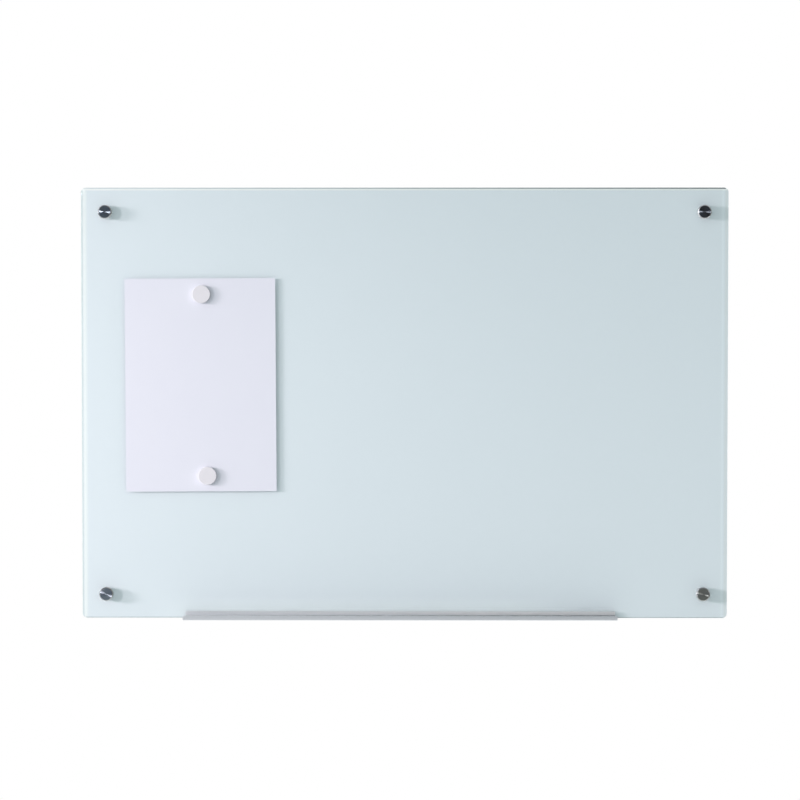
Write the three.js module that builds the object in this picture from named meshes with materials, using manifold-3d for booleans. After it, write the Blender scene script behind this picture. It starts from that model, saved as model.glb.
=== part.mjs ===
// A glass whiteboard that hangs on four standoffs, with a pen tray on its bottom edge,
// two round magnets and the sheet of paper that they hold.
// Millimetres, +Z up. The wall is the plane y = 0 and the front looks along -Y.
// The origin lies on the wall, at the centre of the four standoffs.

import * as THREE from 'three';
import { mergeVertices } from 'three/addons/utils/BufferGeometryUtils.js';
import Module from 'manifold-3d';

const wasm = await Module();
wasm.setup();

// Glass panel
const boardWidth = 900;
const boardHeight = 600;
const glassThickness = 4;
const boardCornerRadius = 6.5;
const polishedEdge = 0.9;
const holeInset = 34;

// Layers bonded behind the glass
const backingThickness = 0.35;
const backingInset = 1.2;
const steelThickness = 0.5;
const steelInset = 15;
const steelHoleMargin = 3;
const bondGap = 0.05;

// Standoff barrels
const barrelRadius = 9.5;
const barrelLength = 20;
const barrelWeb = 3;
const barrelChamfer = 0.5;
const seatGap = 0.05;

// Standoff caps
const capThickness = 9.5;
const capChamfer = 1.3;
const capRearBreak = 0.3;
const studRadius = 5;
const studEngagement = 9;
const studChamfer = 1;
const neckDepth = 0.8;
const neckWidth = 2;
const studClearance = 0.2;

// Washers and sleeves that keep metal off the glass
const washerThickness = 1;
const washerReveal = 0.5;
const sleeveWall = 1.5;
const sleeveClearance = 0.3;

// Wall screws and anchors
const screwHeadRadius = 4;
const screwShankRadius = 2;
const screwLength = 40;
const screwPoint = 5;
const screwHoleClearance = 0.3;
const anchorRadius = 4;
const anchorWall = 1.7;
const anchorLength = 34;
const anchorRibDepth = 0.4;
const anchorRibRise = 0.6;
const anchorCollarRadius = 4.9;
const anchorCollarThickness = 0.8;
const anchorSlot = 1;
const collarClearance = 0.3;

// Pen tray, an extrusion that hooks over the bottom edge of the glass
const trayLength = 600;
const trayShift = 6;
const trayReach = 50;
const trayFloorRise = 2.3;
const trayFloorThickness = 1.5;
const trayLipHeight = 6.1;
const trayLipThickness = 1.8;
const trayUpstandHeight = 9.5;
const trayUpstandThickness = 2;
const trayRearLegHeight = 12;
const trayRearLegThickness = 1.8;
const trayHookThickness = 1.6;
const trayCornerRadius = 1.2;
const trayEdgeRadius = 0.7;

// Soft liner in the hook of the tray
const linerThickness = 0.8;
const linerDrop = 0.8;
const linerEdgeRadius = 0.3;

// Sheet of paper, held by two magnets
const paperWidth = 210;
const paperHeight = 297;
const paperThickness = 0.2;
const paperFromLeft = 60.8;
const paperFromTop = 126.1;
const paperCurlWidth = 95;
const paperCurlHeight = 0.5;
const paperGap = 0.3;
const paperTilt = THREE.MathUtils.degToRad(0.3);

// Round magnets
const magnetRadius = 12.5;
const magnetHeight = 6;
const magnetWall = 1.2;
const magnetEdgeRadius = 0.6;
const magnetFit = 0.1;
const yokeWall = 1.2;
const discClearance = 0.4;
const padThickness = 0.7;
const padRecess = 0.2;
const upperMagnetDrop = 22;
const upperMagnetShift = 2.2;
const lowerMagnetRise = 22.1;
const lowerMagnetShift = 9;

// One overrun for every cut that has to pass right through
const cutOverrun = 2;

// Counts of faces and ribs
const roundFaces = 32;
const smallFaces = 16;
const cornerFaces = 4;
const anchorRibs = 4;

// Shares of the sizes that they follow
const anchorSlotStartShare = 0.3;
const anchorRibStartShare = 0.2;
const curlHandleShare = 0.5;

// Depths behind and in front of the glass, counted from the wall
const barrelFrontY = -barrelLength;
const rearWasherY = barrelFrontY - seatGap;
const backingRearY = rearWasherY - washerThickness - seatGap;
const glassRearY = backingRearY - backingThickness - bondGap;
const glassFrontY = glassRearY - glassThickness;
const frontWasherY = glassFrontY - seatGap;
const capRearY = frontWasherY - washerThickness - seatGap;

// Radii that follow from the stud outwards
const studHoleRadius = studRadius + studClearance;
const sleeveRadius = studHoleRadius + sleeveWall;
const glassHoleRadius = sleeveRadius + sleeveClearance;
const washerRadius = barrelRadius - washerReveal;

const glassBottom = -boardHeight / 2;

const finish = (color, roughness, metalness) =>
  new THREE.MeshStandardMaterial({ color, roughness, metalness });

const materials = {
  glass: new THREE.MeshStandardMaterial({
    color: 0xdfeef2, roughness: 0.04, metalness: 0, transparent: true, opacity: 0.35,
  }),
  whiteBacking: finish(0xeef4f7, 0.6, 0),
  sheetSteel: finish(0x9aa0a4, 0.45, 1),
  turnedSteel: finish(0x6d7072, 0.28, 1),
  zincSteel: finish(0xb9bcc0, 0.35, 1),
  clearPlastic: finish(0xe6ebec, 0.4, 0),
  greyPlastic: finish(0x8f9499, 0.6, 0),
  satinAluminium: finish(0xc2c6c9, 0.38, 1),
  softGrip: finish(0x3a3d40, 0.85, 0),
  paper: finish(0xf4f6fb, 0.9, 0),
  whiteShell: finish(0xe9eaec, 0.45, 0),
  nickel: finish(0xc9c8c4, 0.2, 1),
};

const whiteboard = new THREE.Group();

function addPiece(name, geometry, material, place = whiteboard) {
  const piece = new THREE.Mesh(geometry, material);
  piece.name = name;
  place.add(piece);
  return piece;
}

// A closed outline through corners [x, y, fillet radius], the fillets drawn as Bezier arcs
function filletedShape(corners) {
  const shape = new THREE.Shape();
  const points = corners.map(([x, y]) => new THREE.Vector2(x, y));
  corners.forEach(([, , radius], index) => {
    const corner = points[index];
    const toPrevious = points.at(index - 1).clone().sub(corner).normalize();
    const toNext = points[(index + 1) % points.length].clone().sub(corner).normalize();
    const turn = Math.PI - Math.acos(toPrevious.dot(toNext));
    const reach = radius * Math.tan(turn / 2);
    const handle = reach - (4 / 3) * Math.tan(turn / 4) * radius;
    const along = (direction, distance) => corner.clone().addScaledVector(direction, distance);
    const start = along(toPrevious, reach);
    const end = along(toNext, reach);
    if (index === 0) shape.moveTo(start.x, start.y);
    else shape.lineTo(start.x, start.y);
    if (radius === 0) return;
    const first = along(toPrevious, handle);
    const second = along(toNext, handle);
    shape.bezierCurveTo(first.x, first.y, second.x, second.y, end.x, end.y);
  });
  shape.closePath();
  return shape;
}

function rectangleCorners(width, height, radius) {
  const x = width / 2;
  const y = height / 2;
  return [[-x, -y, radius], [x, -y, radius], [x, y, radius], [-x, y, radius]];
}

// A solid turned about the wall's normal from points [radius, y].
// The points run from front to back along the outside, and back again along any bore.
function turned(profile, faces = roundFaces) {
  const points = profile.map(([radius, y]) => new THREE.Vector2(radius, y));
  return new THREE.LatheGeometry(points, faces);
}

// A ring with a bore, turned from a closed profile
function turnedRing(profile, faces = roundFaces) {
  return turned([...profile, profile[0]], faces);
}

function flatRing(outerRadius, innerRadius, frontY, rearY) {
  return turnedRing(
    [[innerRadius, frontY], [outerRadius, frontY], [outerRadius, rearY], [innerRadius, rearY]],
    smallFaces,
  );
}

function toManifold(geometry) {
  const bare = geometry.clone();
  bare.deleteAttribute('normal');
  bare.deleteAttribute('uv');
  const merged = mergeVertices(bare);
  const mesh = new wasm.Mesh({
    numProp: 3,
    vertProperties: new Float32Array(merged.attributes.position.array),
    triVerts: new Uint32Array(merged.index.array),
  });
  return new wasm.Manifold(mesh);
}

function toGeometry(solid) {
  const mesh = solid.getMesh();
  const geometry = new THREE.BufferGeometry();
  geometry.setAttribute('position', new THREE.BufferAttribute(mesh.vertProperties, 3));
  geometry.setIndex(new THREE.BufferAttribute(mesh.triVerts, 1));
  geometry.computeVertexNormals();
  return geometry;
}

// Standoff places, seen from the front
const standoffs = [
  { corner: 'top_left', x: -1, z: 1 },
  { corner: 'top_right', x: 1, z: 1 },
  { corner: 'bottom_left', x: -1, z: -1 },
  { corner: 'bottom_right', x: 1, z: -1 },
].map(({ corner, x, z }) => ({
  corner,
  x: x * (boardWidth / 2 - holeInset),
  z: z * (boardHeight / 2 - holeInset),
}));

// Glass panel and the layers behind it, each a plate with a hole at every standoff.
// A plate's outline is drawn in x and z, and its thickness grows towards the front.
function plate(inset, cornerRadius, holeRadius, thickness, edge = 0) {
  const width = boardWidth - 2 * (inset + edge);
  const height = boardHeight - 2 * (inset + edge);
  const outline = filletedShape(rectangleCorners(width, height, cornerRadius - edge));
  standoffs.forEach(({ x, z }) => {
    const hole = new THREE.Path();
    hole.absarc(x, z, holeRadius + edge, 0, 2 * Math.PI, true);
    outline.holes.push(hole);
  });
  const geometry = new THREE.ExtrudeGeometry(outline, {
    depth: thickness - 2 * edge,
    curveSegments: cornerFaces * 2,
    bevelEnabled: edge > 0,
    bevelThickness: edge,
    bevelSize: edge,
    bevelSegments: 2,
  });
  geometry.translate(0, 0, edge);
  return geometry.rotateX(Math.PI / 2);
}

function buildPanel() {
  const backingCorner = boardCornerRadius - backingInset;
  const steelHoleRadius = barrelRadius + steelHoleMargin;
  const glass = plate(0, boardCornerRadius, glassHoleRadius, glassThickness, polishedEdge);
  const backing = plate(backingInset, backingCorner, glassHoleRadius, backingThickness);
  const steel = plate(steelInset, boardCornerRadius, steelHoleRadius, steelThickness);
  addPiece('glass_panel', glass, materials.glass).position.y = glassRearY;
  addPiece('white_backing', backing, materials.whiteBacking).position.y = backingRearY;
  const steelRearY = backingRearY + bondGap + steelThickness;
  addPiece('steel_sheet', steel, materials.sheetSteel).position.y = steelRearY;
}

// Standoff pieces, all turned about the hole's axis
const barrelReliefRadius = anchorCollarRadius + collarClearance;
const barrelReliefDepth = anchorCollarThickness + collarClearance;
const barrelWebY = -(barrelReliefDepth + barrelWeb);
const screwHoleRadius = screwShankRadius + screwHoleClearance;

function barrelGeometry() {
  const countersunkRadius = screwHeadRadius + screwHoleClearance;
  const countersinkDepth = countersunkRadius - screwHoleRadius;
  return turnedRing([
    [studHoleRadius + barrelChamfer, barrelFrontY],
    [barrelRadius - barrelChamfer, barrelFrontY],
    [barrelRadius, barrelFrontY + barrelChamfer],
    [barrelRadius, -barrelChamfer],
    [barrelRadius - barrelChamfer, 0],
    [barrelReliefRadius, 0],
    [barrelReliefRadius, -barrelReliefDepth],
    [screwHoleRadius, -barrelReliefDepth],
    [screwHoleRadius, barrelWebY + countersinkDepth],
    [countersunkRadius, barrelWebY],
    [studHoleRadius, barrelWebY],
    [studHoleRadius, barrelFrontY + barrelChamfer],
  ]);
}

function capGeometry() {
  const capFrontY = capRearY - capThickness;
  const studTipY = barrelFrontY + studEngagement;
  const neckRadius = studRadius - neckDepth;
  return turned([
    [0, capFrontY],
    [barrelRadius - capChamfer, capFrontY],
    [barrelRadius, capFrontY + capChamfer],
    [barrelRadius, capRearY - capRearBreak],
    [barrelRadius - capRearBreak, capRearY],
    [neckRadius, capRearY],
    [neckRadius, capRearY + neckWidth],
    [studRadius, capRearY + neckWidth + neckDepth],
    [studRadius, studTipY - studChamfer],
    [studRadius - studChamfer, studTipY],
    [0, studTipY],
  ]);
}

function wallScrewGeometry() {
  const headY = barrelWebY;
  const headDepth = screwHeadRadius - screwShankRadius;
  const tipY = headY + screwLength;
  return turned([
    [0, headY],
    [screwHeadRadius, headY],
    [screwShankRadius, headY + headDepth],
    [screwShankRadius, tipY - screwPoint],
    [0, tipY],
  ], smallFaces);
}

// A plug with saw-tooth ribs and a cross slot that lets its end spread in the wall
function wallAnchorGeometry() {
  const bore = anchorRadius - anchorWall;
  const valley = anchorRadius - anchorRibDepth;
  const ribStart = anchorLength * anchorRibStartShare;
  const ribPitch = (anchorLength - ribStart) / (anchorRibs + 1);
  const outside = [
    [bore, -anchorCollarThickness],
    [anchorCollarRadius, -anchorCollarThickness],
    [anchorCollarRadius, 0],
    [anchorRadius, 0],
  ];
  for (let rib = 0; rib < anchorRibs; rib += 1) {
    const ribY = ribStart + rib * ribPitch;
    outside.push([anchorRadius, ribY], [valley, ribY + anchorRibRise]);
  }
  const lastY = ribStart + anchorRibs * ribPitch;
  outside.push([anchorRadius, lastY], [valley, anchorLength], [bore, anchorLength]);

  const slotStart = anchorLength * anchorSlotStartShare;
  const slotLength = anchorLength - slotStart + cutOverrun;
  const slotWidth = 2 * (anchorRadius + cutOverrun);
  const cutter = (width, height) => {
    const box = new THREE.BoxGeometry(width, slotLength, height);
    return toManifold(box.translate(0, slotStart + slotLength / 2, 0));
  };
  const plug = toManifold(turnedRing(outside, smallFaces));
  const upright = cutter(anchorSlot, slotWidth);
  const level = cutter(slotWidth, anchorSlot);
  return toGeometry(plug.subtract(upright).subtract(level));
}

function buildStandoffs() {
  const shapes = {
    barrel: [barrelGeometry(), materials.turnedSteel],
    wall_screw: [wallScrewGeometry(), materials.zincSteel],
    wall_anchor: [wallAnchorGeometry(), materials.greyPlastic],
    rear_washer: [
      flatRing(washerRadius, studHoleRadius, rearWasherY - washerThickness, rearWasherY),
      materials.clearPlastic,
    ],
    glass_sleeve: [
      flatRing(sleeveRadius, studHoleRadius, glassFrontY, backingRearY),
      materials.clearPlastic,
    ],
    front_washer: [
      flatRing(washerRadius, studHoleRadius, frontWasherY - washerThickness, frontWasherY),
      materials.clearPlastic,
    ],
    cap: [capGeometry(), materials.turnedSteel],
  };
  standoffs.forEach(({ corner, x, z }) => {
    const standoff = new THREE.Group();
    standoff.position.set(x, 0, z);
    whiteboard.add(standoff);
    Object.entries(shapes).forEach(([kind, [geometry, material]]) => {
      addPiece(`${kind}_${corner}`, geometry, material, standoff);
    });
  });
}

// Pen tray. Its section is drawn in y and z and runs along x.
// Heights are counted from the bottom edge of the glass.
function extrudedAlongX(outline, length) {
  const geometry = new THREE.ExtrudeGeometry(outline, {
    depth: length,
    curveSegments: cornerFaces,
    bevelEnabled: false,
  });
  geometry.translate(0, 0, -length / 2);
  return geometry.rotateY(Math.PI / 2).rotateX(Math.PI / 2);
}

function buildTray() {
  const linerFrontY = glassFrontY - seatGap - linerThickness;
  const linerRearY = backingRearY + seatGap + linerThickness;
  const linerBottom = -seatGap - linerThickness;
  const hookFrontY = linerFrontY - seatGap;
  const hookRearY = linerRearY + seatGap;
  const hookTop = linerBottom - seatGap;
  const hookBottom = hookTop - trayHookThickness;
  const upstandY = hookFrontY - trayUpstandThickness;
  const rearLegY = hookRearY + trayRearLegThickness;
  const lipFrontY = glassFrontY - trayReach;
  const lipRearY = lipFrontY + trayLipThickness;
  const lipTop = trayFloorRise + trayLipHeight;
  const floorTop = trayFloorRise + trayFloorThickness;

  const traySection = filletedShape([
    [lipFrontY, trayFloorRise, trayCornerRadius],
    [upstandY, trayFloorRise, trayCornerRadius],
    [upstandY, hookBottom, trayCornerRadius],
    [rearLegY, hookBottom, trayCornerRadius],
    [rearLegY, trayRearLegHeight, trayEdgeRadius],
    [hookRearY, trayRearLegHeight, trayEdgeRadius],
    [hookRearY, hookTop, 0],
    [hookFrontY, hookTop, 0],
    [hookFrontY, trayUpstandHeight, trayEdgeRadius],
    [upstandY, trayUpstandHeight, trayEdgeRadius],
    [upstandY, floorTop, trayCornerRadius],
    [lipRearY, floorTop, trayCornerRadius],
    [lipRearY, lipTop, trayEdgeRadius],
    [lipFrontY, lipTop, trayEdgeRadius],
  ]);
  const linerFrontTop = trayUpstandHeight - linerDrop;
  const linerRearTop = trayRearLegHeight - linerDrop;
  const linerSection = filletedShape([
    [linerFrontY, linerBottom, 0],
    [linerRearY, linerBottom, 0],
    [linerRearY, linerRearTop, linerEdgeRadius],
    [linerRearY - linerThickness, linerRearTop, linerEdgeRadius],
    [linerRearY - linerThickness, -seatGap, 0],
    [linerFrontY + linerThickness, -seatGap, 0],
    [linerFrontY + linerThickness, linerFrontTop, linerEdgeRadius],
    [linerFrontY, linerFrontTop, linerEdgeRadius],
  ]);

  const tray = new THREE.Group();
  tray.position.set(-trayShift, 0, glassBottom);
  whiteboard.add(tray);
  addPiece('pen_tray', extrudedAlongX(traySection, trayLength), materials.satinAluminium, tray);
  addPiece('tray_liner', extrudedAlongX(linerSection, trayLength), materials.softGrip, tray);
}

// Paper and magnets share a group that is centred on the sheet and slightly turned
function paperGeometry() {
  const half = paperWidth / 2;
  const curlStart = half - paperCurlWidth;
  const handle = paperCurlWidth * curlHandleShare;
  const rearY = -paperGap;
  const frontY = rearY - paperThickness;
  const section = new THREE.Shape();
  section.moveTo(-half, rearY);
  section.lineTo(-half, frontY);
  section.lineTo(curlStart, frontY);
  section.quadraticCurveTo(curlStart + handle, frontY, half, frontY - paperCurlHeight);
  section.lineTo(half, rearY - paperCurlHeight);
  section.quadraticCurveTo(curlStart + handle, rearY, curlStart, rearY);
  section.closePath();
  return new THREE.ExtrudeGeometry(section, {
    depth: paperHeight,
    curveSegments: cornerFaces * 2,
    bevelEnabled: false,
  }).translate(0, 0, -paperHeight / 2);
}

// Magnet pieces are turned about the magnet's axis, with y = 0 where the pad rests
function magnetShapes() {
  const frontY = -magnetHeight;
  const cavityY = frontY + magnetWall;
  const cavityRadius = magnetRadius - magnetWall;
  const shell = [[0, frontY]];
  for (let step = 0; step <= cornerFaces; step += 1) {
    const angle = (step / cornerFaces) * (Math.PI / 2);
    shell.push([
      magnetRadius - magnetEdgeRadius + magnetEdgeRadius * Math.sin(angle),
      frontY + magnetEdgeRadius - magnetEdgeRadius * Math.cos(angle),
    ]);
  }
  shell.push([magnetRadius, -padRecess], [cavityRadius, -padRecess]);
  shell.push([cavityRadius, cavityY], [0, cavityY]);

  const yokeRadius = cavityRadius - magnetFit;
  const yokeFrontY = cavityY + magnetFit;
  const yokeRearY = -padThickness - magnetFit;
  const yokeFloorY = yokeFrontY + yokeWall;
  const yokeBore = yokeRadius - yokeWall;
  const yoke = [[0, yokeFrontY], [yokeRadius, yokeFrontY], [yokeRadius, yokeRearY]];
  yoke.push([yokeBore, yokeRearY], [yokeBore, yokeFloorY], [0, yokeFloorY]);

  const discRadius = yokeBore - discClearance;
  const discFrontY = yokeFloorY + magnetFit;
  const disc = [[0, discFrontY], [discRadius, discFrontY], [discRadius, yokeRearY], [0, yokeRearY]];

  const padRadius = cavityRadius - magnetFit;
  const pad = [[0, -padThickness], [padRadius, -padThickness], [padRadius, 0], [0, 0]];
  return [
    ['shell', shell, materials.whiteShell],
    ['yoke', yoke, materials.zincSteel],
    ['disc', disc, materials.nickel],
    ['pad', pad, materials.softGrip],
  ];
}

function buildPaperAndMagnets() {
  const notice = new THREE.Group();
  notice.position.set(
    -boardWidth / 2 + paperFromLeft + paperWidth / 2,
    glassFrontY,
    boardHeight / 2 - paperFromTop - paperHeight / 2,
  );
  notice.rotation.y = -paperTilt;
  whiteboard.add(notice);
  addPiece('paper_sheet', paperGeometry(), materials.paper, notice);

  const places = [
    ['upper', upperMagnetShift, paperHeight / 2 - upperMagnetDrop],
    ['lower', lowerMagnetShift, lowerMagnetRise - paperHeight / 2],
  ];
  const magnetY = -2 * paperGap - paperThickness;
  places.forEach(([which, x, z]) => {
    magnetShapes().forEach(([kind, profile, material]) => {
      const name = `magnet_${which}_${kind}`;
      addPiece(name, turned(profile), material, notice).position.set(x, magnetY, z);
    });
  });
}

buildPanel();
buildStandoffs();
buildTray();
buildPaperAndMagnets();

export default whiteboard;
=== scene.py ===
# Glass whiteboard on four wall standoffs, with a pen tray, two magnets and a sheet of paper.
# Metres, +Z up, the wall at y = 0 and the front towards -Y.

import bmesh
import bpy
import math
from mathutils import Matrix, Vector, noise


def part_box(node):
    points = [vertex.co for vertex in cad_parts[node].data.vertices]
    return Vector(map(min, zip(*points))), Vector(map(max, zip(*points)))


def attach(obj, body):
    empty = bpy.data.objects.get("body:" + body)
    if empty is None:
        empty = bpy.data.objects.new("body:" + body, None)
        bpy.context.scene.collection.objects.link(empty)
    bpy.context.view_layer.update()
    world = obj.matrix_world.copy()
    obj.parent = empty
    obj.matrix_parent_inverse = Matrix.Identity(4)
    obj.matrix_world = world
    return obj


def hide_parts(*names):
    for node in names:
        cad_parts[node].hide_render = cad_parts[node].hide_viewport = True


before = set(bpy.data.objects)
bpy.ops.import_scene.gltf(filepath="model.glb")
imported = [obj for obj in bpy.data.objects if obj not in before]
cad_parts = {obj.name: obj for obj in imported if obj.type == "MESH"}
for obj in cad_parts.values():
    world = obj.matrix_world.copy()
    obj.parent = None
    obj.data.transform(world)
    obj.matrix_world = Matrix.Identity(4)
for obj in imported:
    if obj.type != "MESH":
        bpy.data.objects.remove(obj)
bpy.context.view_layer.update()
print("Frame loaded:", len(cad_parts), "nodes")

cornerNames = ("top_left", "top_right", "bottom_left", "bottom_right")
magnetNames = ("upper", "lower")
glassLow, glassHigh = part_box("glass_panel")
fullTurn = 2 * math.pi
alongX = Vector((1, 0, 0))
mergeDistance = 1e-7
sharpAngle = math.radians(35)
grainRadius = 0.01  # metres of the grain map for each radian round a turned piece


# Helpers for shapes

def centreOf(node):
    low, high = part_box(node)
    return (low + high) / 2


def makePiece(name, bm, body, slot, node):
    # bm becomes a smooth-shaded object that rides on its body and stands for its CAD node
    mesh = bpy.data.meshes.new(name)
    bm.to_mesh(mesh)
    bm.free()
    mesh.materials.append(finishes[slot])
    mesh.shade_smooth()
    mesh.set_sharp_from_angle(angle=sharpAngle)
    piece = bpy.data.objects.new(name, mesh)
    bpy.context.scene.collection.objects.link(piece)
    evenShade = piece.modifiers.new("evenShade", "WEIGHTED_NORMAL")  # keeps flats flat beside fillets
    evenShade.keep_sharp = True
    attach(piece, body)
    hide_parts(node)


def bevel(bm, geom, affect, offset, segments):
    bmesh.ops.bevel(bm, geom=geom, offset=offset, offset_type="OFFSET", segments=segments, profile=0.5,
                    affect=affect, material=-1, clamp_overlap=affect == "EDGES")


def roundCorners(bm, corners, rows, segments):
    # rows holds (a, b) or (a, b, fillet radius) for each corner
    points = [corner.co.copy() for corner in corners]
    for index, row in enumerate(rows):
        if len(row) > 2:
            before = points[index - 1] - points[index]
            after = points[(index + 1) % len(points)] - points[index]
            slide = row[2] / math.tan(before.angle(after) / 2)  # how far the fillet runs along each edge
            bevel(bm, [corners[index]], "VERTICES", slide, segments)


def spinAboutY(bm, angle, steps, advance=0.0, merge=False):
    bmesh.ops.spin(bm, geom=bm.verts[:] + bm.edges[:], cent=(0, 0, 0), axis=(0, 1, 0),
                   dvec=(0, advance, 0), angle=angle, steps=steps, use_merge=merge,
                   use_normal_flip=False, use_duplicate=False)


def turnedSolid(profile, closed=False, steps=96, segments=4):
    # profile rows are (radius, y) or (radius, y, fillet radius), turned about the Y axis
    bm = bmesh.new()
    corners = [bm.verts.new((row[0], row[1], 0)) for row in profile]
    pairs = list(zip(corners, corners[1:]))
    if closed:
        pairs.append((corners[-1], corners[0]))
    for pair in pairs:
        bm.edges.new(pair)
    roundCorners(bm, corners, profile, segments)
    spinAboutY(bm, fullTurn, steps, merge=True)
    bmesh.ops.remove_doubles(bm, verts=bm.verts, dist=mergeDistance)
    bmesh.ops.recalc_face_normals(bm, faces=bm.faces)
    return bm


def joinInto(bm, other):
    mesh = bpy.data.meshes.new("joined")
    other.to_mesh(mesh)
    other.free()
    bm.from_mesh(mesh)
    bpy.data.meshes.remove(mesh)


threadShares = {
    "sunk": 0.3,  # of the height: how deep the ridge's foot lies in the core
    "lowest": 0.15,  # of the height: what is left of the ridge at its ends
    "halfWidth": 0.46,  # of the pitch
    "runOut": 0.4,  # of the pitch
}


def addThread(bm, thread, start, end, steps=24):
    # a right-hand ridge along a helix, its foot sunk in the core and its ends run out
    crest, root, pitch = thread["crest"], thread["root"], thread["pitch"]
    foot = root - threadShares["sunk"] * (crest - root)
    half = threadShares["halfWidth"] * pitch
    turns = (end - start) / pitch
    ridge = bmesh.new()
    rows = ((foot, start - half), (crest, start), (foot, start + half))
    corners = [ridge.verts.new((radius, y, 0)) for radius, y in rows]
    for index in range(3):
        ridge.edges.new((corners[index], corners[(index + 1) % 3]))
    count = round(steps * turns)
    spinAboutY(ridge, fullTurn * turns, count, advance=(end - start) / count)
    openEdges = [edge for edge in ridge.edges if len(edge.link_faces) == 1]
    bmesh.ops.holes_fill(ridge, edges=openEdges, sides=3)
    for vertex in ridge.verts:
        radius = math.hypot(vertex.co.x, vertex.co.z)
        runOut = min(vertex.co.y - start, end - vertex.co.y) / (threadShares["runOut"] * pitch)
        if radius > (crest + foot) / 2 and runOut < 1:
            shrink = (foot + (crest - foot) * max(runOut, threadShares["lowest"])) / radius
            vertex.co.x *= shrink
            vertex.co.z *= shrink
    bmesh.ops.recalc_face_normals(ridge, faces=ridge.faces)
    joinInto(bm, ridge)


def cutAway(bm, cutter):
    # bm less the cutter's solids, by an exact boolean
    made = []
    for name, source in (("stock", bm), ("cutter", cutter)):
        mesh = bpy.data.meshes.new(name)
        source.to_mesh(mesh)
        source.free()
        made.append(bpy.data.objects.new(name, mesh))
        bpy.context.scene.collection.objects.link(made[-1])
    stock, tool = made
    cut = stock.modifiers.new("cut", "BOOLEAN")
    cut.operation = "DIFFERENCE"
    cut.solver = "EXACT"
    cut.object = tool
    graph = bpy.context.evaluated_depsgraph_get()
    mesh = bpy.data.meshes.new_from_object(stock.evaluated_get(graph))
    result = bmesh.new()
    result.from_mesh(mesh)
    bpy.data.meshes.remove(mesh)
    for spare in made:
        bpy.data.meshes.remove(spare.data)
    return result


def boxSolid(size, centre):
    bm = bmesh.new()
    place = Matrix.Translation(centre) @ Matrix.Diagonal((*size, 1))
    bmesh.ops.create_cube(bm, size=1, matrix=place)
    return bm


def pushFaces(bm, offset):
    # extrudes the faces of a flat bm into a solid
    grown = bmesh.ops.extrude_face_region(bm, geom=bm.faces[:])["geom"]
    moved = [item for item in grown if isinstance(item, bmesh.types.BMVert)]
    bmesh.ops.translate(bm, vec=offset, verts=moved)
    bmesh.ops.recalc_face_normals(bm, faces=bm.faces)


def endRims(bm, axis):
    # the edges between a solid's sides and its two ends across an axis
    return [
        edge for edge in bm.edges
        if abs(abs(edge.link_faces[0].normal[axis]) - abs(edge.link_faces[1].normal[axis])) > 0.5
    ]


def onCircle(offset):
    # the unit direction, in the XZ plane, for a point on a square, so that even steps stay even
    angle = math.atan2(offset.z, offset.x)
    side = round(angle / (math.pi / 2)) * math.pi / 2
    angle = side + math.tan(angle - side) * math.pi / 4
    return Vector((math.cos(angle), 0, math.sin(angle)))


def gridLines(half, hole, margin):
    return -half, -hole - margin, -hole + margin, hole - margin, hole + margin, half


def holedPlate(size, frontY, rearY, plate):
    # a rounded plate in the XZ plane with a round hole at each standoff
    halfX, halfZ = size[0] / 2, size[1] / 2
    holeX, holeZ = plate["holeX"], plate["holeZ"]
    margin = min(halfX - holeX, halfZ - holeZ) * plate["marginShare"]
    columns, rows = gridLines(halfX, holeX, margin), gridLines(halfZ, holeZ, margin)
    cells = len(columns) - 1
    bm = bmesh.new()
    bmesh.ops.create_grid(bm, x_segments=cells, y_segments=cells, size=0.5)
    for vertex in bm.verts:
        column, row = (round((along + 0.5) * cells) for along in vertex.co.xy)
        vertex.co = (columns[column], frontY, rows[row])
    for x in (-holeX, holeX):
        for z in (-holeZ, holeZ):
            middle = Vector((x, frontY, z))
            cell = min(bm.faces, key=lambda face: (face.calc_center_median() - middle).length)
            rim = list(cell.edges)
            bmesh.ops.delete(bm, geom=[cell], context="FACES_ONLY")
            bmesh.ops.subdivide_edges(bm, edges=rim, cuts=plate["holeFaces"] // 4 - 1)
            reach = margin * (1 + plate["slackShare"])
            square = [
                edge for edge in bm.edges
                if len(edge.link_faces) == 1
                and max(abs(edge.verts[0].co.x - x), abs(edge.verts[1].co.z - z)) < reach
            ]
            ring = bmesh.ops.extrude_edge_only(bm, edges=square)["geom"]
            for vertex in ring:
                if isinstance(vertex, bmesh.types.BMVert):
                    vertex.co = middle + onCircle(vertex.co - middle) * plate["holeRadius"]
    outer = [
        vertex for vertex in bm.verts
        if abs(abs(vertex.co.x) - halfX) < mergeDistance and abs(abs(vertex.co.z) - halfZ) < mergeDistance
    ]
    bevel(bm, outer, "VERTICES", plate["cornerRadius"], plate["cornerSegments"])
    pushFaces(bm, (0, rearY - frontY, 0))
    if plate["edge"]:
        bevel(bm, endRims(bm, axis=1), "EDGES", plate["edge"], plate["edgeSegments"])
    return bm


def extrudedSection(rows, lowX, highX, form):
    # rows are (y, z) or (y, z, fillet radius)
    bm = bmesh.new()
    corners = [bm.verts.new((lowX, row[0], row[1])) for row in rows]
    bm.faces.new(corners)
    roundCorners(bm, corners, rows, form["filletSegments"])
    pushFaces(bm, (highX - lowX, 0, 0))
    bevel(bm, endRims(bm, axis=0), "EDGES", form["endBreak"], form["endSegments"])
    return bm


def addGrain(bm, turned):
    # a UV map whose u runs across the tool marks and v along them, in metres
    layer = bm.loops.layers.uv.new("grain")
    for face in bm.faces:
        middle = face.calc_center_median()
        faceAngle = math.atan2(middle.z, middle.x)
        across = face.normal.cross(alongX)
        for loop in face.loops:
            place = loop.vert.co
            if not turned:
                loop[layer].uv = (place.dot(across), place.x)
                continue
            radius = math.hypot(place.x, place.z)
            angle = math.atan2(place.z, place.x) if radius > mergeDistance else faceAngle
            angle += fullTurn * round((faceAngle - angle) / fullTurn)
            loop[layer].uv = (radius + place.y, angle * grainRadius)


# Helpers for materials

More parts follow.
